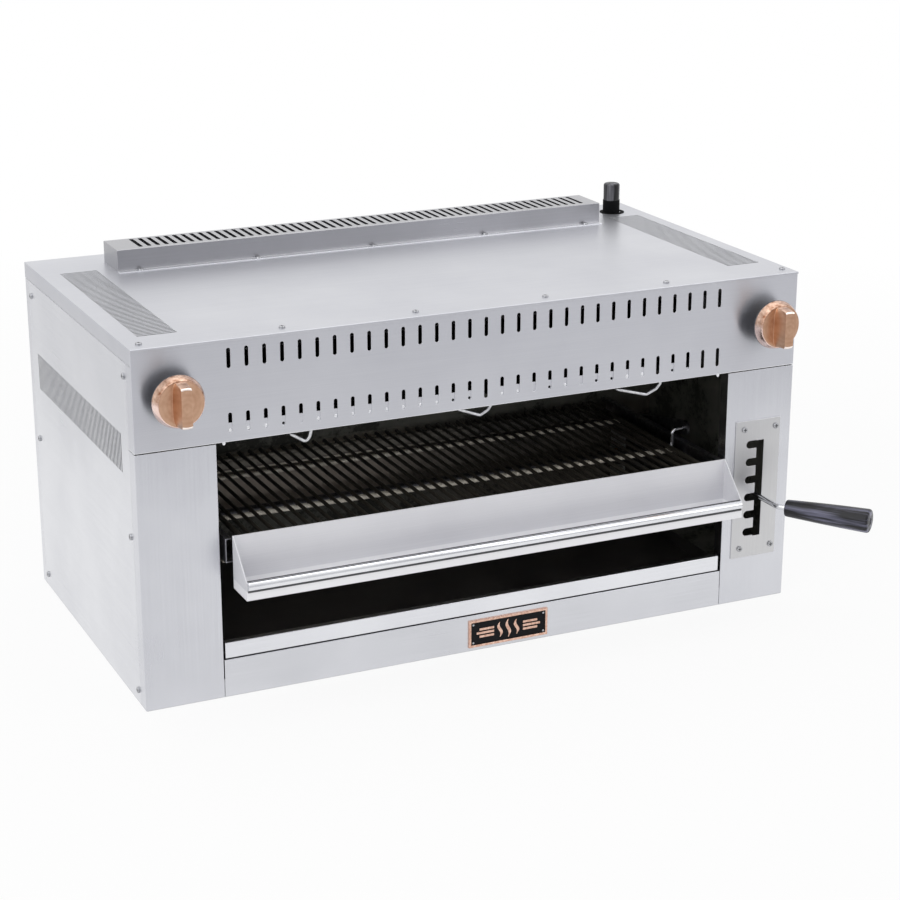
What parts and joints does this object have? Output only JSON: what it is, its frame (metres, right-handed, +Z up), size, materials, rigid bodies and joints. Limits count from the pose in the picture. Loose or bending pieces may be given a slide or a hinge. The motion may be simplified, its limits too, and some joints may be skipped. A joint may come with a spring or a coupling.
{
  "type": "salamander grill",
  "caption": "Gas salamander broiler: open-fronted steel cabinet, slotted control panel with knobs, pull-out rack with drip trough raised by a notched side lever, crumb tray, flue riser.",
  "frame": {"origin": "centre of the underside of the base pan, on the surface that the grill stands on", "axes": "+X to the cook's right along the width, +Y away from the cook towards the back, +Z up"},
  "size_m": [0.9594, 0.6379, 0.5015],
  "materials": {
    "casing_stainless": "brushed stainless sheet",
    "galvanised_sheet": "bright zinc-coated sheet",
    "heated_stainless": "heat-stained stainless sheet",
    "zinc_steel": "bright zinc",
    "copper_rim": "copper-coloured, satin",
    "black_lacquer": "gloss black",
    "ceramic": null,
    "cast_mixer": "as cast",
    "black_pipe": "black lacquered pipe",
    "valve_brass": "machined",
    "pilot_aluminium": "drawn tube",
    "pilot_heads": "pressed steel",
    "cap_plastic": "moulded black",
    "knob_copper": "turned, copper-coloured anodised",
    "lift_steel": "plain steel",
    "polished_rod": "bright plated",
    "grip_phenolic": "moulded black phenolic",
    "carriage_steel": "plain stainless",
    "rack_steel": "plated bars, dulled by heat",
    "trough_stainless": "brushed stainless sheet"
  },
  "bodies": {
    "cabinet": {"base_pan": "galvanised_sheet", "leg_nuts": "zinc_steel", "base_front_panel": "casing_stainless", "left_pillar": "casing_stainless", "right_pillar": "casing_stainless", "control_panel": "casing_stainless", "left_side_panel": "casing_stainless", "right_side_panel": "casing_stainless", "back_panel": "casing_stainless", "top_cover": "casing_stainless", "flue_riser": "casing_stainless", "corner_posts": "galvanised_sheet", "side_screws": "zinc_steel", "top_screws": "zinc_steel", "riser_screws": "zinc_steel", "notch_plate": "casing_stainless", "notch_plate_screws": "zinc_steel", "badge_frame": "copper_rim", "badge_field": "black_lacquer", "badge_screws": "zinc_steel", "side_bearers": "galvanised_sheet", "liner_left": "heated_stainless", "liner_right": "heated_stainless", "liner_back": "heated_stainless", "burner_deck": "heated_stainless", "left_burner_box": "heated_stainless", "right_burner_box": "heated_stainless", "burner_tiles": "ceramic", "burner_screens": "heated_stainless", "left_mixing_tube": "cast_mixer", "right_mixing_tube": "cast_mixer", "heat_shield": "galvanised_sheet", "gas_manifold": "black_pipe", "left_gas_valve": "valve_brass", "right_gas_valve": "valve_brass", "pilot_tubes": "pilot_aluminium", "pilot_burners": "pilot_heads", "lift_brackets": "galvanised_sheet", "shaft_bushes": "valve_brass", "upper_arm_studs": "zinc_steel"},
    "lift": {"lift_shaft": "lift_steel", "lower_arms": "lift_steel", "lever_crank": "lift_steel"},
    "carriage": {"carriage_rails": "carriage_steel", "carriage_ties": "carriage_steel", "hanger_rods": "polished_rod"},
    "rack": {"rack_frame": "rack_steel", "grill_grid": "rack_steel", "drip_trough": "trough_stainless", "trough_front_bar": "polished_rod"},
    "left_upper_link": {"left_upper_arm": "lift_steel"},
    "right_upper_link": {"right_upper_arm": "lift_steel"},
    "lever": {"lever_rod": "polished_rod", "lever_grip": "grip_phenolic"},
    "tray": {"crumb_tray": "trough_stainless"},
    "left_control": {"left_valve_stem": "valve_brass", "left_knob": "knob_copper"},
    "right_control": {"right_valve_stem": "valve_brass", "right_knob": "knob_copper"},
    "cap": {"inlet_cap": "cap_plastic"}
  },
  "joints": [
    {"name": "rack_lift", "type": "hinge", "parent": "cabinet", "child": "lift", "pos_m": [0, 0.07, 0.12], "axis": [-1, 0, 0], "range_deg": [-9.2, 13.4]},
    {"name": "carriage_pivot", "type": "hinge", "parent": "lift", "child": "carriage", "pos_m": [0, -0.128, 0.162], "axis": [-1, 0, 0], "range_deg": [-13.5, 9.3]},
    {"name": "left_link_pivot", "type": "hinge", "parent": "cabinet", "child": "left_upper_link", "pos_m": [-0.36, 0.07, 0.18], "axis": [-1, 0, 0], "range_deg": [-9.3, 13.5]},
    {"name": "right_link_pivot", "type": "hinge", "parent": "cabinet", "child": "right_upper_link", "pos_m": [0.36, 0.07, 0.18], "axis": [-1, 0, 0], "range_deg": [-9.3, 13.5]},
    {"name": "rack_slide", "type": "slide", "parent": "carriage", "child": "rack", "axis": [0, -1, 0], "range_m": [0, 0.17]},
    {"name": "lever_swing", "type": "hinge", "parent": "lift", "child": "lever", "pos_m": [0.40975, 0.045, 0.1515], "axis": [0, 0, -1], "range_deg": [0, 3.2]},
    {"name": "tray_slide", "type": "slide", "parent": "cabinet", "child": "tray", "axis": [0, -1, 0], "range_m": [0, 0.3]},
    {"name": "left_knob_turn", "type": "hinge", "parent": "cabinet", "child": "left_control", "pos_m": [-0.4075, -0.259, 0.3955], "axis": [0, -1, 0], "range_deg": [0, 90]},
    {"name": "right_knob_turn", "type": "hinge", "parent": "cabinet", "child": "right_control", "pos_m": [0.412, -0.259, 0.3955], "axis": [0, -1, 0], "range_deg": [0, 90]},
    {"name": "cap_pull", "type": "slide", "parent": "cabinet", "child": "cap", "axis": [0, 0, 1], "range_m": [0, 0.05]}
  ],
  "couplings": [
    {"joint": "carriage_pivot", "follows": "rack_lift", "ratio": -1},
    {"joint": "left_link_pivot", "follows": "rack_lift", "ratio": 1},
    {"joint": "right_link_pivot", "follows": "rack_lift", "ratio": 1}
  ]
}
